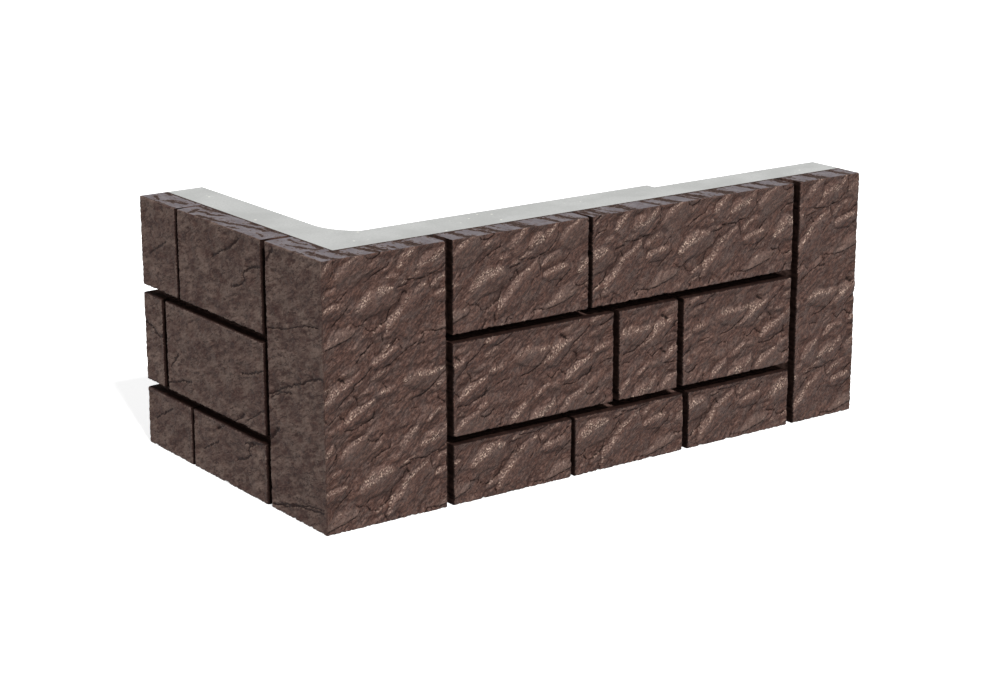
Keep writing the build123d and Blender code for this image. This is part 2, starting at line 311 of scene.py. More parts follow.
def layered_noise(x, y, seed, layers):
    """Noise of several sizes added up, between 0 and 1."""
    total = np.zeros_like(x)
    weight = 1.0
    weights = 0.0
    for layer in range(layers):
        total = total + weight * plane_noise(x * 2.0**layer + 13.7 * layer, y * 2.0**layer, seed + layer)
        weights += weight
        weight *= 0.5
    return total / weights


def puffy_noise(x, y, seed, layers):
    """Noise of rounded lumps with sharp creases between them, between 0 and 1."""
    return np.abs(2.0 * layered_noise(x, y, seed, layers) - 1.0)


def ridged_noise(x, y, seed, layers):
    """Noise with sharp crests, between 0 and 1."""
    return 1.0 - puffy_noise(x, y, seed, layers)


def grain_axes(along, down, angle):
    """Turn a place on a face into its place along the grain and across it."""
    with_grain = along * math.cos(angle) - down * math.sin(angle)
    across_grain = -along * math.sin(angle) - down * math.cos(angle)
    return with_grain, across_grain


# The split pattern


def distance_to_line(along, down, points):
    """Distance of every place from a line through the points."""
    nearest = np.full(along.shape, 1e9)
    for (x0, y0), (x1, y1) in zip(points[:-1], points[1:]):
        dx = x1 - x0
        dy = y1 - y0
        share = ((along - x0) * dx + (down - y0) * dy) / (dx * dx + dy * dy)
        share = np.clip(share, 0.0, 1.0)
        nearest = np.minimum(nearest, np.hypot(along - x0 - share * dx, down - y0 - share * dy))
    return nearest


def add_flake(fields, along, down, flake):
    """Lay one flake over the pattern, where it stands higher than what is there."""
    height, pale, grey, crest = flake
    crest = np.array(crest, float)
    with_grain, across_grain = grain_axes(along, down, GRAIN)
    crest_with, crest_across = grain_axes(crest[:, 0], crest[:, 1], GRAIN)
    inside = (with_grain > crest_with[0]) & (with_grain < crest_with[-1])
    if not inside.any():
        return
    offset = across_grain - np.interp(with_grain, crest_with, crest_across)
    flank = np.interp(with_grain, crest_with, crest[:, 2]) + 0.01
    body = np.interp(with_grain, crest_with, crest[:, 3]) + 0.01
    ends = np.minimum(with_grain - crest_with[0], crest_with[-1] - with_grain)
    top = height * smooth_step(-2.0, 9.0, ends)
    above = 1.0 - offset / flank
    below = 1.0 - 0.6 * np.clip(-offset / body, 0.0, 1.0) ** 1.7
    below = below * np.clip(1.0 - (-offset - body) / 1.3, 0.0, 1.0)
    profile = np.where(offset > 0, above, below)
    raised = np.where(inside, top * np.clip(profile, 0.0, 1.0), 0.0)
    over = raised > fields["height"]
    # Painted light: the upper flank, which faces the lamp, is marked to be painted pale; the grey mark
    # partly stands in for painted sheen.
    on_flank = smooth_step(-1.5, 0.8, offset) * smooth_step(1.15, 0.15, offset / flank)
    fields["height"] = np.where(over, raised, fields["height"])
    fields["pale"] = np.where(over, pale * on_flank, fields["pale"])
    fields["grey"] = np.where(over, grey * smooth_step(0.0, 0.4, profile), fields["grey"])
    # Painted shade: a dark line along the foot of each flake's body, where the step falls into shade.
    rim = np.exp(-(((offset + body + 0.6) / 0.9) ** 2)) * inside * smooth_step(0.0, 12.0, ends)
    fields["crack"] = np.maximum(np.where(over, 0.0, fields["crack"]), 0.55 * rim * (body > 4.0))


def hollow_depth(along, down, hollow):
    """Depth of one main hollow at any place, which is less than at its crests outside its outline."""
    deepest, middle, outline = hollow
    share = np.full_like(along, np.inf)
    for (x0, y0), (x1, y1) in zip(outline, outline[1:] + outline[:1]):
        here = (x1 - x0) * (down - y0) - (y1 - y0) * (along - x0)
        at_middle = (x1 - x0) * (middle[1] - y0) - (y1 - y0) * (middle[0] - x0)
        share = np.minimum(share, here / at_middle)
    return CREST_DEPTH + (deepest - CREST_DEPTH) * share


def add_crack(fields, along, down, crack):
    """Cut one crack into the pattern."""
    width, depth, points = crack
    wander = 2.2 * (plane_noise(along / 7.0, down / 7.0, 71) - 0.5)
    uneven = 0.55 + 0.9 * plane_noise(along / 5.0 + 40.0, down / 5.0, 72)
    distance = distance_to_line(along + wander, down - wander, points)
    cut = np.exp(-((distance / (width * uneven)) ** 2))
    fields["height"] = fields["height"] - depth * cut
    # Painted shade: the crack is also marked to be painted dark, as shade inside it.
    fields["crack"] = np.maximum(fields["crack"], cut)


def blurred(field, radius):
    """A field of the repeat, softened over a radius in grid steps."""
    down_wave = np.fft.fftfreq(field.shape[0])[:, None]
    along_wave = np.fft.rfftfreq(field.shape[1])[None, :]
    soften = np.exp(-2.0 * (math.pi * radius) ** 2 * (down_wave**2 + along_wave**2))
    return np.fft.irfft2(np.fft.rfft2(field) * soften, field.shape)


def make_pattern():
    """Work out one repeat of the split pattern on a fine grid."""
    columns = int(round(PATTERN_LONG / PATTERN_STEP))
    rows = int(round(PATTERN_HIGH / PATTERN_STEP))
    along, down = np.meshgrid(
        np.arange(columns) * PATTERN_LONG / columns,
        np.arange(rows) * PATTERN_HIGH / rows,
    )
    wander = 3.2 * (layered_noise(along / 17.0, down / 17.0, 5, 3) - 0.5)
    fields = {name: np.zeros_like(along) for name in ("height", "pale", "grey", "crack")}
    straight = [(along + i * PATTERN_LONG, down + j * PATTERN_HIGH) for i in (-1, 0, 1) for j in (-1, 0, 1)]
    bent = [(place_along + wander, place_down - wander) for place_along, place_down in straight]
    for flake in FLAKES:
        for place in bent:
            add_flake(fields, *place, flake)
    for crack in CRACKS:
        for place in straight:
            add_crack(fields, *place, crack)
    split = np.zeros_like(along)
    for hollow in HOLLOWS:
        for place in bent:
            split = np.maximum(split, hollow_depth(*place, hollow))
    fields["split"] = blurred(split, 1.8 / PATTERN_STEP)
    # How far the relief lies below its softened self; the materials paint this as shade in hollows and as
    # light on bumps.
    fields["hollow"] = blurred(fields["height"], 5.0 / PATTERN_STEP) - fields["height"]
    fields["pale"] = blurred(fields["pale"], 0.9 / PATTERN_STEP)
    fields["grey"] = blurred(fields["grey"], 2.0 / PATTERN_STEP)
    return fields


def read_pattern(fields, name, along, down):
    """Value of one field of the pattern at any place of a face."""
    field = fields[name]
    rows, columns = field.shape
    return blended(field, (along / PATTERN_LONG % 1.0) * columns, (down / PATTERN_HIGH % 1.0) * rows)


def front_surface(pattern, along, down):
    """Relief and colour fields of the long arm's face."""
    with_grain, across_grain = grain_axes(along, down, GRAIN)
    with_streak, across_streak = grain_axes(along, down, STREAKS)
    fields = {name: read_pattern(pattern, name, along, down) for name in pattern}
    coarse = puffy_noise(with_grain / 34.0, across_grain / 16.0, 21, 3)
    lumps = puffy_noise(with_streak / 17.0, across_streak / 9.0, 27, 2)
    fine = layered_noise(with_streak / 8.0, across_streak / 4.0, 31, 3)
    rough = 0.5 + 0.7 * smooth_step(0.4, 0.7, layered_noise(along / 38.0, down / 30.0, 33, 2))
    rough = np.minimum(rough + 0.6 * fields["pale"], 1.3)
    detail = fields["height"] + 2.8 * coarse + rough * (2.6 * lumps + 1.9 * (fine - 0.5))
    fields["height"] = DEEPEST - 3.0 - fields["split"] + detail
    # Painted shade and light: the hollow mark, darker in hollows and lighter on bumps, follows the noise
    # relief too.
    fields["hollow"] = fields["hollow"] - 2.2 * (coarse - 0.25) - 2.2 * (lumps - 0.25) - 2.0 * (fine - 0.5)
    # Painted shade in the creases between the lumps.
    creases = np.maximum(smooth_step(0.07, 0.0, coarse), 0.8 * smooth_step(0.07, 0.0, lumps))
    fields["crack"] = np.maximum(fields["crack"], 0.4 * creases * smooth_step(0.5, 0.62, fine))
    # The painted pale light of the flanks is broken into patches.
    patches = layered_noise(with_grain / 10.0, across_grain / 8.0, 37, 3)
    fields["pale"] = fields["pale"] * smooth_step(0.24, 0.56, patches)
    return fields


def side_surface(pattern, along, down):
    """Relief and colour fields of the short arm's face, which is broken more flatly."""
    with_grain, across_grain = grain_axes(along, down, SIDE_GRAIN)
    coarse = ridged_noise(with_grain / 46.0 + 9.0, across_grain / 15.0, 41, 4)
    broad = layered_noise(with_grain / 70.0, across_grain / 34.0, 45, 3)
    fine = layered_noise(with_grain / 9.0, across_grain / 4.0, 51, 3)
    lumps = ridged_noise(with_grain / 16.0, across_grain / 8.0, 47, 2) ** 2
    detail = 1.9 * coarse + 1.8 * broad + lumps + 1.2 * (fine - 0.5)
    split = SIDE_SHARE * read_pattern(pattern, "split", along, down)
    # The hollow mark is painted as shade in hollows and light on bumps, the pale mark as faint painted
    # glints, and the crack mark as painted shade in cracks.
    fields = {
        "height": DEEPEST - 2.9 - split + detail,
        "hollow": -2.0 * (coarse - 0.7) - 3.0 * (broad - 0.5) - 1.3 * (lumps - 0.5) - 2.6 * (fine - 0.5),
        "pale": 0.22 * smooth_step(0.60, 0.78, broad) * smooth_step(0.35, 0.75, fine),
        "grey": 0.35 * smooth_step(0.45, 0.7, layered_noise(along / 60.0, down / 30.0, 61, 3)),
        "crack": 0.35 * smooth_step(0.955, 1.0, coarse),
    }
    for crack in SIDE_CRACKS:
        for shift in (0.0, PATTERN_HIGH):
            add_crack(fields, -along, down - shift, crack)
    return fields


def face_fields(pattern, along, down):
    """Fields of both faces, where along is negative on the short arm, blended at the outer corner."""
    front = front_surface(pattern, along, down)
    side = side_surface(pattern, along, down)
    share = smooth_step(-3.0, 3.0, along)
    return {name: side[name] * (1 - share) + front[name] * share for name in side}


# Meshes of the stones


def grid_places(start, finish, step):
    """Places of the grid lines along one side of a stone, closer together at its edges."""
    inner_start = start + EDGE_STEPS[-1]
    inner_finish = finish - EDGE_STEPS[-1]
    count = max(1, int(round((inner_finish - inner_start) / step)))
    inner = np.linspace(inner_start, inner_finish, count + 1)
    head = start + np.array(EDGE_STEPS[:-1])
    tail = finish - np.array(EDGE_STEPS[:-1][::-1])
    return np.concatenate([head, inner, tail])


def arris_inset(distance):
    """How far the rounded arris falls back at a distance from the edge."""
    short = np.clip(ARRIS - distance, 0.0, ARRIS)
    return ARRIS - np.sqrt(ARRIS * ARRIS - short * short)


def outer_path(along, inset):
    """Plan position on the exposed face at a distance along the wall, set back by inset."""
    turn = np.clip((along + ARRIS) / (2 * ARRIS), 0.0, 1.0) * math.pi / 2
    round_x = ARRIS - (ARRIS - inset) * np.cos(turn)
    round_y = ARRIS - (ARRIS - inset) * np.sin(turn)
    x = np.where(along < -ARRIS, inset, np.where(along > ARRIS, along, round_x))
    y = np.where(along < -ARRIS, -along, np.where(along > ARRIS, inset, round_y))
    return x, y


def turns_corner(stone):
    """Whether a stone turns the outer corner."""
    return stone.start < 0.0 < stone.finish


def inner_path(along, stone):
    """Plan position on the back of a stone at a distance along the wall."""
    if turns_corner(stone):
        x = np.where(along > 0, np.maximum(along, THICK), THICK)
        y = np.where(along > 0, THICK, np.maximum(-along, THICK))
    elif stone.start >= 0.0:
        x = along
        y = np.full_like(along, THICK)
    else:
        x = np.full_like(along, THICK)
        y = -along
    return x, y


def chip_depth(along_edge, seed):
    """Chips along an arris: mostly slight, now and then a larger one."""
    small = plane_noise(along_edge / 3.2, np.full_like(along_edge, 0.5 + seed), 81)
    large = plane_noise(along_edge / 13.0, np.full_like(along_edge, 3.5 + seed), 82)
    return 1.4 * smooth_step(0.35, 0.9, small) + 1.7 * smooth_step(0.62, 0.95, large)


def bed_stripes(x, y):
    """Brown stripes that cross the sawn beds, from 0 to 1, in plan position from the outer corner."""
    wander = 9.0 * (layered_noise(x / 26.0, y / 40.0, 91, 3) - 0.5)
    lean = np.mod(x + 0.2 * y + wander, PATTERN_LONG)
    stripes = np.zeros_like(lean)
    for middle, width, strength in STRIPES:
        stripes = np.maximum(stripes, strength * np.exp(-(((lean - middle) / width) ** 2)))
    uneven = layered_noise(x / 5.0, y / 14.0, 95, 3)
    stripes = stripes * (0.35 + 1.1 * uneven)
    strokes = np.zeros_like(lean)
    bent = 5.0 * (layered_noise(x / 9.0, y / 12.0, 97, 2) - 0.5)
    for width, points in BED_STROKES:
        away = distance_to_line(y, x + bent, points) / (1.3 * width)
        faded = 0.22 * np.exp(-((away / 2.6) ** 2))
        strokes = np.maximum(strokes, np.maximum(np.exp(-(away**2)), faded))
    strokes = strokes * (0.65 + 0.8 * uneven)
    on_short = smooth_step(52.0, 64.0, y)
    back = np.where(y > x, x, y)
    fringe = smooth_step(50.5, 55.0, back + 6.0 * (uneven - 0.5))
    return np.clip(np.maximum(stripes * (1 - on_short) + strokes * on_short, 0.9 * fringe), 0.0, 1.0)


def open_sides(stone):
    """Whether the bottom, finish, top and start of a stone are open to view. The others face a joint."""
    return (
        stone.low < SAME,
        abs(stone.finish - LONG_ARM) < SAME,
        stone.high > TOP - SAME,
        abs(stone.start + SHORT_ARM) < SAME,
    )


def grid_lines(stone):
    """Grid lines of a stone's face, along the wall and up."""
    step = FRONT_STEP if stone.finish > 0.0 else SIDE_STEP
    along_line = grid_places(stone.start, stone.finish, step)
    if turns_corner(stone):
        short_line = grid_places(stone.start, 0.0, SIDE_STEP)
        close = np.linspace(-ARRIS, ARRIS, 9)
        clear = ARRIS + 0.6
        along_line = np.concatenate([short_line[short_line < -clear], close, along_line[along_line > clear]])
    return along_line, grid_places(stone.low, stone.high, step)


def facing_up(height, along_line, height_line, angle):
    """How much the relief faces up and against the grain."""
    rise = np.gradient(height, height_line, axis=0)
    run = np.gradient(height, along_line, axis=1)
    return np.clip(math.sin(angle) * run - math.cos(angle) * rise, -1.5, 1.5)


def joint_distance(along, height, stone):
    """Distance of every place on a stone's face from the nearest joint."""
    nearest = np.full_like(along, FAR)
    from_sides = (height - stone.low, stone.finish - along, stone.high - height, along - stone.start)
    for is_open, distance in zip(open_sides(stone), from_sides):
        if not is_open:
            nearest = np.minimum(nearest, distance)
    return nearest


def shape_face(along, height, stone, relief, seed):
    """Points of a stone's face, with its relief held back at the edges, and the depth of its chips."""
    from_ends = np.minimum(along - stone.start, stone.finish - along)
    from_beds = np.minimum(height - stone.low, stone.high - height)
    from_corner = np.abs(along) if turns_corner(stone) else np.full_like(along, FAR)
    from_edge = np.minimum(np.minimum(from_ends, from_beds), from_corner)
    held = 0.2 + 0.8 * smooth_step(0.0, HELD_BACK, from_edge)

    # Chips of the lower and upper edge, of both ends and of the outer corner
    middle_along = (stone.start + stone.finish) / 2
    middle_height = (stone.low + stone.high) / 2
    chips_beds = chip_depth(along, seed) * (height < middle_height)
    chips_beds = chips_beds + 0.5 * chip_depth(along + 900.0, seed) * (height > middle_height)
    chips_ends = chip_depth(height + 500.0 * (along > middle_along), seed + 7)
    chips = chips_beds * np.exp(-from_beds / 2.2) + 0.7 * chips_ends * np.exp(-from_ends / 2.2)
    chips = chips + 0.8 * chip_depth(height, seed + 3) * np.exp(-from_corner / 2.5)
    inset = relief * held + chips + arris_inset(from_ends) + arris_inset(from_beds)

    # The edge line itself wanders a little, always inwards
    pull_beds = 0.70 * chips_beds * np.exp(-from_beds / 3.0)
    pull_ends = 0.65 * chips_ends * np.exp(-from_ends / 3.0)
    along_moved = along + np.where(along < middle_along, pull_ends, -pull_ends)
    height_moved = height + np.where(height < middle_height, pull_beds, -pull_beds)
    x, y = outer_path(along_moved, np.minimum(inset, DEEPEST_INSET))
    return np.stack([x, y, height_moved], -1), chips


def face_border(index):
    """Points round a face in order, and the wall behind each, numbered as in open_sides."""
    rows, columns = index.shape
    border = np.concatenate([index[0, :-1], index[:-1, -1], index[-1, :0:-1], index[:0:-1, 0]])
    wall = np.repeat([BOTTOM, FINISH, UPPER, START], [columns - 1, rows - 1, columns - 1, rows - 1])
    return border, wall


def wall_ring(share, front, back, border_along, wall):
    """One ring of points round a stone, at a share of the way from face to back, and its stripes."""
    depth = share * THICK
    border_height = back[:, 2]
    plain = front * (1 - share) + back * share
    straight = np.column_stack([plain[:, :2], border_height])
    ease = math.exp(-depth / 7.0)
    ring = straight * (1 - ease) + plain * ease if share < 1.0 else back
    on_end = (wall == FINISH) | (wall == START)
    stripes = bed_stripes(np.where(on_end, border_height, ring[:, 0]), np.where(on_end, depth, ring[:, 1]))
    if share < 1.0:
        ripple = plane_noise(border_along / 3.0, np.full_like(border_along, share * 19), 99)
        dip = 0.15 + 0.35 * stripes + 0.25 * ripple
        ring[:, 2] += np.where(wall == BOTTOM, dip, np.where(wall == UPPER, -dip, 0.0)) * (1 - ease)
    return ring, stripes


def add_field(mesh, name, values, kind="FLOAT", part="value"):
    """Give every point of a mesh a value that the materials read."""
    field = mesh.attributes.new(name, kind, "POINT")
    field.data.foreach_set(part, values.astype(np.float32).ravel())


def add_grain(mesh, along, down, depth):
    """Store the place of every point along and across the grain and behind the face, in centimetres."""
    front_grain = np.stack(grain_axes(along, down, STREAKS), -1)
    side_grain = np.stack(grain_axes(along, down, SIDE_GRAIN), -1)
    on_grain = np.where(along[:, None] > 0.0, front_grain, side_grain)
    add_field(mesh, "grain", np.column_stack([on_grain, depth]) / 10.0, "FLOAT_VECTOR", "vector")


def stone_mesh(node, stone, pattern, seed):
    """One stone as a closed mesh: its split face, its four walls and its back."""
    along_line, height_line = grid_lines(stone)
    along, height = np.meshgrid(along_line, height_line)
    down = TOP - height
    fields = face_fields(pattern, along, down)
    angle = GRAIN if stone.finish > 0 else SIDE_GRAIN
    # How the relief faces the lamp, for painted light and shade.
    fields["facing"] = facing_up(fields["height"], along_line, height_line, angle)
    relief = SHALLOWEST + np.clip(DEEPEST - fields["height"], 0.0, DEEPEST)
    face, chips = shape_face(along, height, stone, relief, seed)

    # The rim of the face is painted dark as shade where it falls into a joint, and its painted highlight is
    # taken off there
    rim = smooth_step(1.6, 0.4, joint_distance(along, height, stone) - 0.4 * chips)
    fields["crack"] = np.maximum(fields["crack"], 0.95 * rim)
    fields["pale"] = fields["pale"] * (1.0 - rim)

    index = np.arange(along.size).reshape(along.shape)
    points = [face.reshape(-1, 3)]
    face_quads = np.stack([index[:-1, :-1], index[:-1, 1:], index[1:, 1:], index[1:, :-1]], -1)
    quads = [face_quads.reshape(-1, 4)]
    on_side = (along[:-1, :-1] + along[1:, 1:]).ravel() < 0.0
    quad_material = [np.where(on_side, CALM, SPLIT)]
    stripes = [np.zeros(along.size)]
    depths = [np.zeros(along.size)]

    # The walls, ring by ring from the border of the face: sawn where open to view, else facing a joint
    border, wall = face_border(index)
    border_along = along.ravel()[border]
    front = points[0][border]
    back = np.stack([*inner_path(border_along, stone), height.ravel()[border]], -1)
    wall_material = np.array([SAWN if is_open else JOINT for is_open in open_sides(stone)])[wall]
    ring = border
    for count, share in enumerate(WALL_ROWS[1:]):
        ring_points, ring_stripes = wall_ring(share, front, back, border_along, wall)
        next_ring = along.size + count * len(border) + np.arange(len(border))
        points.append(ring_points)
        quads.append(np.stack([ring, next_ring, np.roll(next_ring, -1), np.roll(ring, -1)], -1))
        quad_material.append(wall_material)
        stripes.append(ring_stripes)
        depths.append(np.full(len(border), share * THICK))
        ring = next_ring

    # The back lies on the concrete, in two parts where the stone turns the corner
    backs = [ring[border_along <= 0.0], ring[border_along >= 0.0]] if turns_corner(stone) else [ring]
    loops = [loop[::-1].tolist() for loop in backs]
    points = (np.concatenate(points) + np.array([OUTER_X, OUTER_Y, 0.0])) * MM
    mesh = bpy.data.meshes.new(node + "_rock")
    mesh.from_pydata(points.tolist(), [], np.concatenate(quads).tolist() + loops)
    material = np.concatenate(quad_material).tolist() + [JOINT] * len(loops)
    mesh.polygons.foreach_set("material_index", material)

    # What the materials read
    walls = len(WALL_ROWS) - 1
    all_along = np.concatenate([along.ravel()] + [border_along] * walls)
    all_down = np.concatenate([down.ravel()] + [down.ravel()[border]] * walls)
    add_grain(mesh, all_along, all_down, np.concatenate(depths))
    for name in FIELDS:
        values = np.zeros(len(points))
        values[: along.size] = fields[name].ravel()
        add_field(mesh, name, values)
    add_field(mesh, "stripe", np.concatenate(stripes))
    return mesh


def weld(mesh):
    """Join the points that meet at the inside corner of the corner stone."""
    work = bmesh.new()
    work.from_mesh(mesh)
    bmesh.ops.remove_doubles(work, verts=work.verts, dist=0.00001)
    work.to_mesh(mesh)
    work.free()


# Materials


class Nodes:
    """Short ways to add and link nodes in one tree."""

    def __init__(self, holder):
        """Take a material or world, and empty its tree."""
        holder.use_nodes = True
        self.holder = holder
        self.tree = holder.node_tree
        self.tree.nodes.clear()

    def put(self, socket, value):
        """Link a socket to a node's output, or set its value. A colour is three numbers."""
        if isinstance(value, bpy.types.NodeSocket):
            self.tree.links.new(value, socket)
        elif isinstance(value, tuple):
            socket.default_value = (*value, 1.0)
        else:
            socket.default_value = value

    def add(self, kind, values=None):
        """Add a node, with values for its inputs."""
        node = self.tree.nodes.new("ShaderNode" + kind)
        for name, value in (values or {}).items():
            self.put(node.inputs[name], value)
        return node

    def attribute(self, name, output="Fac"):
        node = self.add("Attribute")
        node.attribute_name = name
        return node.outputs[output]

    def position(self):
        return self.add("TexCoord").outputs["Object"]

    def scaled(self, vector, first, second):
        """Stretch a vector along its first two axes."""
        node = self.add("VectorMath", {0: vector})
        node.operation = "MULTIPLY"
        node.inputs[1].default_value = (first, second, 1.0)
        return node.outputs["Vector"]

    def parts(self, vector):
        """X, Y and Z of a vector."""
        return self.add("SeparateXYZ", {"Vector": vector}).outputs

    def noise(self, vector, scale, detail=3.0, roughness=0.5, distortion=0.0):
        values = {"Vector": vector, "Scale": scale, "Detail": detail}
        values.update({"Roughness": roughness, "Distortion": distortion})
        return self.add("TexNoise", values).outputs["Fac"]

    def cells(self, vector, scale):
        return self.add("TexVoronoi", {"Vector": vector, "Scale": scale}).outputs["Distance"]

    def spread(self, value, low, high, to_low=0.0, to_high=1.0):
        """Go smoothly from one value to another while the input goes from low to high."""
        values = {"Value": value, "From Min": low, "From Max": high, "To Min": to_low, "To Max": to_high}
        node = self.add("MapRange", values)
        node.interpolation_type = "SMOOTHSTEP"
        return node.outputs["Result"]

    def math(self, operation, first, second=0.0):
        node = self.add("Math", {0: first, 1: second})
        node.operation = operation
        return node.outputs["Value"]

    def mix(self, share, first, second):
        """Go from the first colour to the second as the share goes from 0 to 1."""
        node = self.add("Mix")
        node.data_type = "RGBA"
        self.put(node.inputs["Factor"], share)
        self.put(node.inputs["A"], first)
        self.put(node.inputs["B"], second)
        return node.outputs["Result"]

    def tints(self, colour, layers):
        """Lay tints over a colour. Each follows a value, from none at one level to its share at another."""
        for value, none_at, full_at, share, tint in layers:
            colour = self.mix(self.spread(value, none_at, full_at, 0.0, share), colour, tint)
        return colour

    def bump(self, height, strength, distance, normal=None):
        """Roughen the surface, on top of what the normal already holds."""
        values = {"Strength": strength, "Distance": distance, "Height": height}
        if normal is not None:
            values["Normal"] = normal
        return self.add("Bump", values).outputs["Normal"]

    def plain(self, kind, grey, strength=None):
        """A shader of one grey, with its strength where it glows."""
        values = {"Color": (grey, grey, grey)}
        if strength is not None:
            values["Strength"] = strength
        return self.add(kind, values).outputs[0]

    def seen_or_thrown(self, seen, thrown):
        """One shader for camera, glossy and transmitted rays, and another for the light on the block."""
        rays = self.add("LightPath").outputs
        direct = self.math("MAXIMUM", rays["Is Camera Ray"], rays["Is Glossy Ray"])
        direct = self.math("MAXIMUM", direct, rays["Is Transmission Ray"])
        return self.add("MixShader", {"Fac": direct, 1: thrown, 2: seen}).outputs["Shader"]

    def finish(self, surface, output="OutputMaterial"):
        """Link a shader to the tree's output, and give the material or world."""
        self.add(output, {"Surface": surface})
        return self.holder

    def finish_stone(self, colour, roughness, specular, normal):
        """Finish a material of stone or concrete, and give it."""
        values = {"Base Color": colour, "Roughness": roughness, "Specular IOR Level": specular}
        shader = self.add("BsdfPrincipled", values)
        self.put(shader.inputs["Normal"], normal)
        return self.finish(shader.outputs["BSDF"])


def split_rock():
    """Split face of the brown stone: mottled, with painted light and glints on flanks facing the lamp, and
    painted shade in hollows and cracks.
    """
    n = Nodes(bpy.data.materials.new("split_brown_stone"))
    grain = n.attribute("grain", "Vector")
    pale, grey, crack, hollow, facing = (n.attribute(name) for name in FIELDS)
    streaks = n.noise(n.scaled(grain, 0.5, 1.3), 1.2, 4.0, 0.62)
    mottle = n.noise(n.scaled(grain, 0.6, 1.1), 0.9, 3.0, 0.55)
    broad = n.noise(n.scaled(grain, 0.7, 1.1), 0.24, 2.0, 0.5)
    veil = n.noise(n.scaled(grain, 0.6, 1.2), 0.5, 3.0, 0.6)
    grit = n.noise(n.scaled(grain, 0.6, 1.2), 2.7, 1.5, 0.6)
    speck = n.noise(n.scaled(grain, 0.75, 1.45), 4.0, 0.0, 0.5)
    brown = n.mix(n.spread(streaks, 0.38, 0.64), (0.0456, 0.0203, 0.0147), (0.0932, 0.0455, 0.0332))
    brown = n.tints(brown, [
        (mottle, 0.46, 0.6, 0.45, (0.1015, 0.0534, 0.0398)),
        (mottle, 0.44, 0.34, 0.45, (0.0414, 0.0188, 0.0147)),
        (broad, 0.53, 0.66, 0.3, (0.0456, 0.0217, 0.0171)),
        (broad, 0.46, 0.34, 0.25, (0.1118, 0.0593, 0.0436)),
        (veil, 0.5, 0.6, 0.55, (0.078, 0.055, 0.048)),
        (veil, 0.47, 0.38, 0.4, (0.078, 0.034, 0.024)),
        (grit, 0.5, 0.61, 0.76, (0.0249, 0.0104, 0.0076)),
        (grit, 0.46, 0.37, 0.5, (0.131, 0.077, 0.061)),
        # Painted shade in the hollows and painted light on the bumps; then painted light on relief that
        # faces the lamp and painted shade on relief that faces away.
        (hollow, 0.0, 2.0, 0.8, (0.0228, 0.0094, 0.0069)),
        (hollow, -0.2, -2.2, 0.35, (0.1243, 0.0672, 0.0493)),
        (facing, 0.05, 0.9, 0.55, (0.14, 0.0825, 0.0665)),
        (facing, -0.05, -0.75, 0.8, (0.0228, 0.0099, 0.0074)),
    ])
    # A greyer tone on some flakes, which partly stands in for painted sheen.
    brown = n.mix(n.math("MULTIPLY", grey, 0.4), brown, (0.1015, 0.0681, 0.0559))
    # Painted light: the flanks that face the lamp are painted paler and greyer, as lit and sheened.
    painted_flank_light = n.math("MULTIPLY", pale, n.spread(grit, 0.58, 0.4, 0.1, 1.0))
    brown = n.mix(n.math("MULTIPLY", painted_flank_light, 0.46), brown, (0.195, 0.131, 0.109))
    # Painted highlights: glints and dark specks on the painted lit flanks and on relief facing the lamp.
    lit = n.math("MAXIMUM", n.spread(pale, 0.08, 0.75), n.spread(facing, 0.45, 1.2, 0.0, 0.65))
    lit = n.math("MULTIPLY", lit, n.spread(streaks, 0.38, 0.54, 0.3, 1.0))
    flank_dark_specks = n.math("MULTIPLY", lit, n.spread(speck, 0.48, 0.38))
    brown = n.mix(n.math("MULTIPLY", flank_dark_specks, 0.3), brown, (0.024, 0.0115, 0.0088))
    glint = n.math("MULTIPLY", lit, n.spread(speck, 0.53, 0.68))
    brown = n.mix(n.math("MULTIPLY", glint, 0.78), brown, (0.52, 0.385, 0.3))
    brown = n.mix(n.spread(speck, 0.4, 0.32, 0.0, 0.5), brown, (0.0186, 0.0079, 0.0057))
    # Painted shade: the cracks and the rims at the joints are painted nearly black.
    ragged = n.math("ADD", crack, n.spread(grit, 0.3, 0.7, -0.36, 0.22))
    brown = n.mix(n.spread(ragged, 0.24, 0.92, 0.0, 0.95), brown, (0.0072, 0.0035, 0.0026))
    dull = n.math("ADD", n.spread(mottle, 0.3, 0.7, 0.58, 0.44), n.spread(ragged, 0.25, 0.55, 0.0, 0.45))
    rough = n.bump(speck, 0.6, 0.0018)
    rough = n.bump(grit, 0.7, 0.003, rough)
    rough = n.bump(streaks, 0.9, 0.005, rough)
    rough = n.bump(mottle, 0.5, 0.003, rough)
    return n.finish_stone(brown, roughness=dull, specular=0.18, normal=rough)


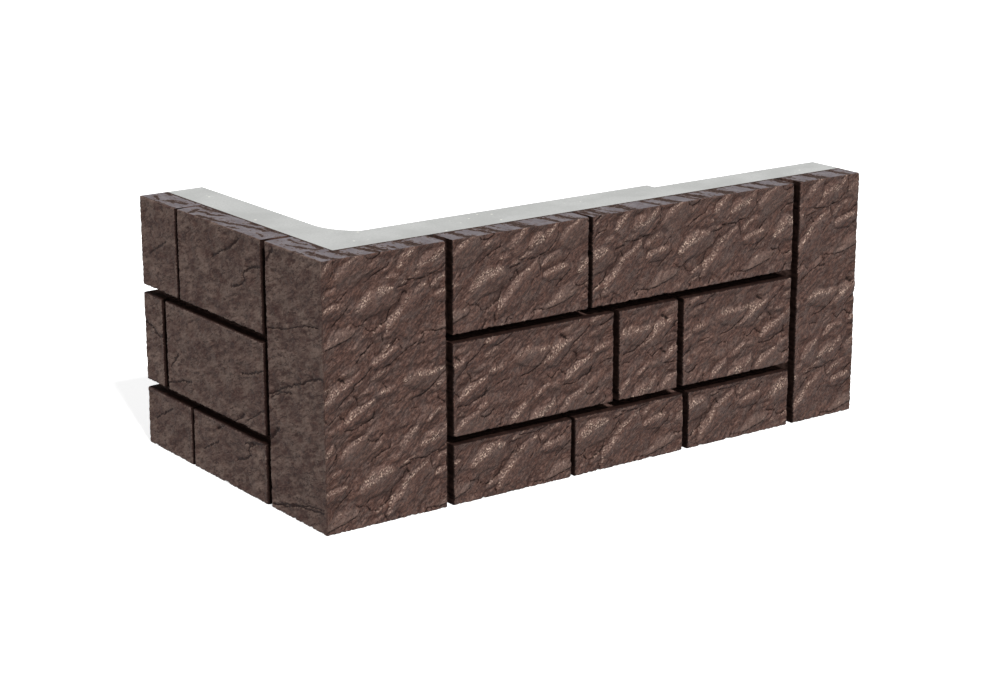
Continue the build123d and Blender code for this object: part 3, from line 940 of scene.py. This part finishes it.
def calm_rock():
    """Split face of the short arm: the same stone, flatter, with soft dark and pale patches, painted light
    and shade on its relief, faint painted glints, and painted shade in its cracks.
    """
    n = Nodes(bpy.data.materials.new("split_brown_stone_calm"))
    grain = n.attribute("grain", "Vector")
    pale, crack, hollow, facing = (n.attribute(name) for name in FIELDS if name != "grey")
    broad = n.noise(n.scaled(grain, 0.7, 1.0), 0.22, 3.0, 0.55, 0.5)
    patches = n.noise(n.scaled(grain, 0.55, 1.0), 0.5, 4.0, 0.6, 0.6)
    mottle = n.noise(n.scaled(grain, 0.5, 1.2), 0.95, 4.0, 0.62, 0.4)
    grit = n.noise(n.scaled(grain, 0.6, 1.3), 2.6, 1.5, 0.6)
    brown = n.mix(n.spread(broad, 0.42, 0.58), (0.078, 0.047, 0.0392), (0.13, 0.089, 0.074))
    brown = n.tints(brown, [
        (patches, 0.49, 0.4, 0.8, (0.05, 0.0252, 0.0212)),
        (patches, 0.54, 0.63, 0.6, (0.168, 0.119, 0.099)),
        (mottle, 0.51, 0.6, 0.42, (0.041, 0.021, 0.0175)),
        (mottle, 0.46, 0.38, 0.34, (0.168, 0.119, 0.099)),
        (grit, 0.5, 0.6, 0.34, (0.045, 0.0247, 0.0207)),
        (grit, 0.47, 0.4, 0.18, (0.189, 0.1344, 0.1081)),
    ])
    # Painted shade: thin dark lines that stand for shade in hairline cracks.
    hairline_cracks = n.noise(n.scaled(grain, 0.4, 1.2), 0.5, 4.0, 0.65)
    hairline_cracks = n.math("ABSOLUTE", n.math("SUBTRACT", hairline_cracks, 0.5))
    hairline_cracks = n.math("MULTIPLY", n.spread(hairline_cracks, 0.034, 0.01), n.spread(mottle, 0.45, 0.53))
    brown = n.mix(n.math("MULTIPLY", hairline_cracks, 0.75), brown, (0.017, 0.0074, 0.0058))
    # Painted shade in hollows, and painted light and shade on relief facing towards and away from the lamp.
    brown = n.tints(brown, [
        (hollow, 0.0, 1.7, 0.65, (0.032, 0.0152, 0.0125)),
        (facing, 0.05, 0.6, 0.28, (0.178, 0.1302, 0.106)),
        (facing, -0.05, -0.6, 0.5, (0.028, 0.0131, 0.0106)),
    ])
    # Painted highlights: faint glints where the pale mark lies.
    brown = n.mix(n.math("MULTIPLY", pale, 0.9), brown, (0.254, 0.1869, 0.1516))
    # Painted shade in the cracks.
    ragged = n.math("ADD", crack, n.spread(grit, 0.3, 0.7, -0.3, 0.3))
    brown = n.mix(n.spread(ragged, 0.32, 0.78), brown, (0.013, 0.0054, 0.0042))
    dull = n.spread(mottle, 0.3, 0.7, 0.8, 0.68)
    rough = n.bump(grit, 0.4, 0.0018, n.bump(mottle, 0.6, 0.0036))
    return n.finish_stone(brown, roughness=dull, specular=0.1, normal=rough)


def sawn_rock():
    """Sawn bed of the stone: lavender grey, partly its own colour and partly a painted sheen of the light
    from above, crossed by brown stripes.
    """
    n = Nodes(bpy.data.materials.new("sawn_brown_stone"))
    position = n.position()
    stripe = n.attribute("stripe")
    fibre = n.noise(n.scaled(position, 1.0, 0.3), 160.0, 3.0, 0.6)
    speck = n.noise(position, 420.0, 2.0, 0.6)
    # The lavender grey is partly a painted sheen of the light from above.
    grey = n.mix(n.spread(fibre, 0.35, 0.65), (0.147, 0.131, 0.14), (0.194, 0.174, 0.181))
    cloud = n.noise(n.scaled(position, 1.0, 0.5), 55.0, 2.0, 0.5)
    grey = n.mix(n.spread(cloud, 0.42, 0.58, 0.0, 0.5), grey, (0.112, 0.098, 0.106))
    edge = n.math("ADD", stripe, n.spread(fibre, 0.3, 0.7, -0.25, 0.25))
    edge = n.math("ADD", edge, n.spread(speck, 0.3, 0.7, -0.12, 0.12))
    fleck = n.noise(position, 170.0, 2.0, 0.6)
    edge = n.math("ADD", edge, n.spread(fleck, 0.35, 0.65, -0.2, 0.2))
    colour = n.mix(n.spread(edge, 0.27, 0.37), grey, (0.095, 0.06, 0.049))
    core = n.mix(n.spread(speck, 0.4, 0.65), (0.018, 0.008, 0.006), (0.052, 0.032, 0.025))
    colour = n.tints(colour, [
        (edge, 0.38, 0.56, 1.0, core),
        (fleck, 0.64, 0.7, 0.7, (0.08, 0.048, 0.039)),
    ])
    dull = n.spread(fibre, 0.3, 0.7, 0.74, 0.86)
    rough = n.bump(speck, 0.4, 0.0006, n.bump(fibre, 0.4, 0.0008))
    return n.finish_stone(colour, roughness=dull, specular=0.1, normal=rough)


def joint_rock():
    """Walls of the joints: the same stone, painted nearly black as shade at the mouth, and painted lighter
    deeper in to even out the lamp light that reaches only the front.
    """
    n = Nodes(bpy.data.materials.new("joint_wall_stone"))
    position = n.position()
    mottle = n.noise(position, 90.0, 4.0, 0.6)
    dust = n.noise(position, 700.0, 2.0, 0.5)
    upward = n.parts(n.add("NewGeometry").outputs["Normal"])["Z"]
    bed = n.spread(upward, 0.3, 0.8)
    uneven = n.spread(mottle, 0.35, 0.7)
    # Painted shade: the joint walls and beds are painted nearly black, the up-facing beds a little less
    # dark, as they catch more light.
    wall = n.mix(uneven, (0.01, 0.005, 0.004), (0.023, 0.012, 0.0095))
    bed_colour = n.mix(uneven, (0.014, 0.0066, 0.0053), (0.03, 0.015, 0.0118))
    deep = n.mix(uneven, (0.07, 0.04, 0.033), (0.17, 0.103, 0.085))
    depth = n.parts(n.attribute("grain", "Vector"))["Z"]
    # Painted light: deeper in, out of reach of the lamps, the joint is painted lighter.
    colour = n.mix(n.spread(depth, 1.3, 2.5), n.mix(bed, wall, bed_colour), deep)
    colour = n.mix(n.spread(dust, 0.6, 0.74, 0.0, 0.35), colour, (0.04, 0.022, 0.018))
    dull = n.spread(mottle, 0.3, 0.7, 0.9, 1.0)
    rough = n.bump(dust, 0.5, 0.0006, n.bump(mottle, 0.5, 0.002))
    return n.finish_stone(colour, roughness=dull, specular=0.03, normal=rough)


def cast_concrete():
    """Cast backing: pale grey with fine pores and a few white grains, and painted dark as shade behind the
    joints.
    """
    n = Nodes(bpy.data.materials.new("cast_concrete"))
    position = n.position()
    cloud = n.noise(position, 9.0, 4.0, 0.55, 0.4)
    grains = n.noise(position, 260.0, 3.0, 0.6)
    pores = n.cells(position, 210.0)
    white = n.cells(position, 34.0)
    colour = n.mix(n.spread(cloud, 0.35, 0.65), (0.405, 0.41, 0.4), (0.475, 0.48, 0.47))
    colour = n.tints(colour, [
        (grains, 0.35, 0.7, 0.35, (0.355, 0.36, 0.352)),
        (pores, 0.16, 0.05, 0.55, (0.3, 0.302, 0.292)),
        (white, 0.1, 0.05, 0.9, (0.78, 0.78, 0.7)),
    ])
    # Painted shade: the concrete behind the stones, seen at the back of the joints, is painted nearly black.
    place = n.parts(position)
    past_skin = THICK + 0.4
    behind_short = n.math("LESS_THAN", place["X"], (OUTER_X + past_skin) * MM)
    behind_long = n.math("LESS_THAN", place["Y"], (OUTER_Y + past_skin) * MM)
    colour = n.mix(n.math("MAXIMUM", behind_short, behind_long), colour, (0.022, 0.013, 0.011))
    dull = n.spread(grains, 0.3, 0.7, 0.78, 0.9)
    rough = n.bump(pores, 0.35, 0.0008)
    rough = n.bump(grains, 0.4, 0.0006, rough)
    rough = n.bump(cloud, 0.3, 0.004, rough)
    return n.finish_stone(colour, roughness=dull, specular=0.25, normal=rough)


# The block


def wall_range(node):
    """Range of a stone along the wall and up, from its CAD node."""
    low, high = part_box(node)
    start = low.x / MM - OUTER_X
    finish = high.x / MM - OUTER_X
    if node.startswith("side") or node == "corner_stone":
        start = -(high.y / MM - OUTER_Y)
    if node.startswith("side"):
        finish = -(low.y / MM - OUTER_Y)
    return Stone(start, finish, low.z / MM, high.z / MM)


def make_stones(materials):
    """Build every facing stone in the place of its CAD node."""
    pattern = make_pattern()
    stones = sorted(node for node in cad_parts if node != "backing")
    for seed, node in enumerate(stones):
        stone = wall_range(node)
        mesh = stone_mesh(node, stone, pattern, 10 * seed)
        if turns_corner(stone):
            weld(mesh)
        mesh.shade_smooth()
        mesh.set_sharp_from_angle(angle=SHARP)
        for material in materials:
            mesh.materials.append(material)
        piece = bpy.data.objects.new(node + "_rock", mesh)
        bpy.context.scene.collection.objects.link(piece)
        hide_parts(node)
        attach(piece, "root")


def dress_backing():
    """Give the CAD backing its concrete."""
    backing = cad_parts["backing"]
    backing.data.materials.clear()
    backing.data.materials.append(cast_concrete())


# The studio


def floor_material():
    """White where it is seen, with the block's soft shadow, and pale grey for the light it throws back."""
    n = Nodes(bpy.data.materials.new("white_floor"))
    seen = n.add("AddShader")
    n.put(seen.inputs[0], n.plain("BsdfDiffuse", 0.9))
    n.put(seen.inputs[1], n.plain("Emission", 1.0, 0.66))
    return n.finish(n.seen_or_thrown(seen.outputs["Shader"], n.plain("BsdfDiffuse", 0.45)))


def make_floor(half, drop):
    """A plain white floor just under the block, wide enough to leave the picture."""
    mesh = bpy.data.meshes.new("floor")
    corners = [(-half, -half, 0), (half, -half, 0), (half, half, 0), (-half, half, 0)]
    mesh.from_pydata(corners, [], [(0, 1, 2, 3)])
    mesh.materials.append(floor_material())
    floor = bpy.data.objects.new("floor", mesh)
    floor.location.z = -drop
    bpy.context.scene.collection.objects.link(floor)


def make_world(strength):
    """Even light all round, which is white where it is seen."""
    n = Nodes(bpy.data.worlds.new("studio"))
    lit = n.seen_or_thrown(n.plain("Background", 1.0, 1.0), n.plain("Background", 1.0, strength))
    bpy.context.scene.world = n.finish(lit, "OutputWorld")


def make_lamp(name, towards_light, energy, angle):
    """A distant soft lamp that shines from a direction."""
    data = bpy.data.lights.new(name, "SUN")
    data.energy = energy
    data.angle = math.radians(angle)
    lamp = bpy.data.objects.new(name, data)
    lamp.rotation_mode = "QUATERNION"
    lamp.rotation_quaternion = Vector(towards_light).to_track_quat("Z", "Y")
    lamp.location = Vector(towards_light) * 4.0
    bpy.context.scene.collection.objects.link(lamp)


def make_camera(place, yaw, pitch, roll):
    """The photograph's viewpoint: turned from +Y towards +X, tilted down and rolled, in degrees."""
    turn = Matrix.Rotation(math.radians(-yaw), 4, "Z")
    turn = turn @ Matrix.Rotation(math.radians(90.0 - pitch), 4, "X")
    turn = turn @ Matrix.Rotation(math.radians(roll), 4, "Z")
    data = bpy.data.cameras.new("camera")
    data.sensor_fit = "HORIZONTAL"
    data.sensor_width = 36.0
    data.lens = 84.0
    data.clip_start = 0.05
    data.clip_end = 200.0
    camera = bpy.data.objects.new("camera", data)
    camera.matrix_world = Matrix.Translation(place) @ turn
    bpy.context.scene.collection.objects.link(camera)
    bpy.context.scene.camera = camera


make_stones([split_rock(), sawn_rock(), joint_rock(), calm_rock()])
dress_backing()
make_floor(half=30.0, drop=0.0005)
make_world(strength=0.27)
make_lamp("key", towards_light=(-0.16, -0.66, 0.73), energy=4.0, angle=6.0)
make_lamp("fill", towards_light=(-0.95, -0.05, 0.25), energy=0.45, angle=30.0)
make_camera(place=(-2.43138, -3.33909, 1.32608), yaw=35.870, pitch=15.951, roll=-0.118)
bpy.context.scene.view_settings.view_transform = "Standard"
